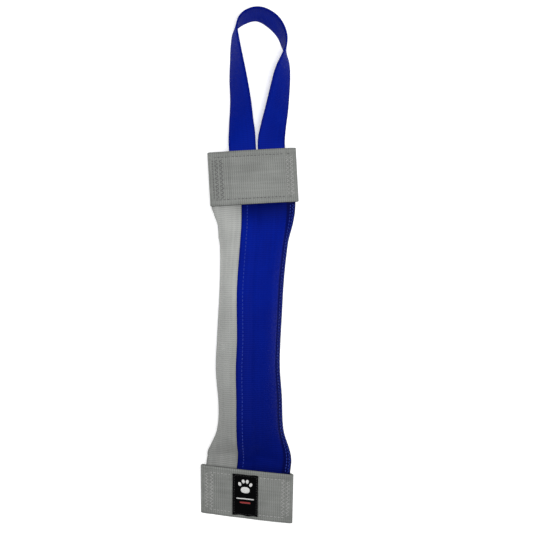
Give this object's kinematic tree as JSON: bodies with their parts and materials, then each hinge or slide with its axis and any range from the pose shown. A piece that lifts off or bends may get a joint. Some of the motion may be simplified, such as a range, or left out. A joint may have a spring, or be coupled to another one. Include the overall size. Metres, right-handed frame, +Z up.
{
  "type": "training bumper",
  "caption": "Stuffed webbing tube with a sewn fin seam, a wrapped band at each end and a soft carrying loop, for retrieve and tug training.",
  "frame": {"origin": "middle of the flat that the bumper rests on, under the middle of the stuffed body", "axes": "+Y along the body towards the handle, +X towards the fin seam, +Z up, away from the table it lies on"},
  "size_m": [0.085, 0.4937, 0.0394],
  "materials": {
    "blue_webbing": "ribbed woven webbing with a slight sheen",
    "grey_webbing": "ribbed woven webbing, matt",
    "grey_band": "ribbed woven webbing, matt",
    "blue_strap": "narrow woven webbing with a slight sheen",
    "label": "fine satin weave",
    "foam": "closed-cell foam",
    "pale_thread": "twisted polyester thread",
    "blue_thread": "twisted polyester thread",
    "black_thread": "twisted polyester thread"
  },
  "bodies": {
    "bumper": {"foam_core": "foam", "front_blue_strip": "blue_webbing", "back_blue_strip": "blue_webbing", "front_grey_strip": "grey_webbing", "back_grey_strip": "grey_webbing", "top_end_band": "grey_band", "bottom_end_band": "grey_band", "woven_label": "label", "handle_tail_left": "blue_strap", "handle_tail_right": "blue_strap", "front_lap_thread": "blue_thread", "back_lap_thread": "pale_thread", "side_lap_thread": "pale_thread", "fin_seam_thread": "blue_thread", "top_band_outer_thread": "pale_thread", "top_band_inner_thread": "pale_thread", "top_band_left_zigzag": "pale_thread", "top_band_right_zigzag": "pale_thread", "bottom_band_outer_thread": "pale_thread", "bottom_band_inner_thread": "pale_thread", "bottom_band_left_zigzag": "pale_thread", "bottom_band_right_zigzag": "pale_thread", "label_thread": "black_thread"},
    "handle": {"handle_loop": "blue_strap"}
  },
  "joints": [
    {"name": "handle_flop", "type": "hinge", "parent": "bumper", "child": "handle", "pos_m": [0, 0.1828, 0.02295], "axis": [1, 0, 0], "range_deg": [-115, 135]}
  ]
}
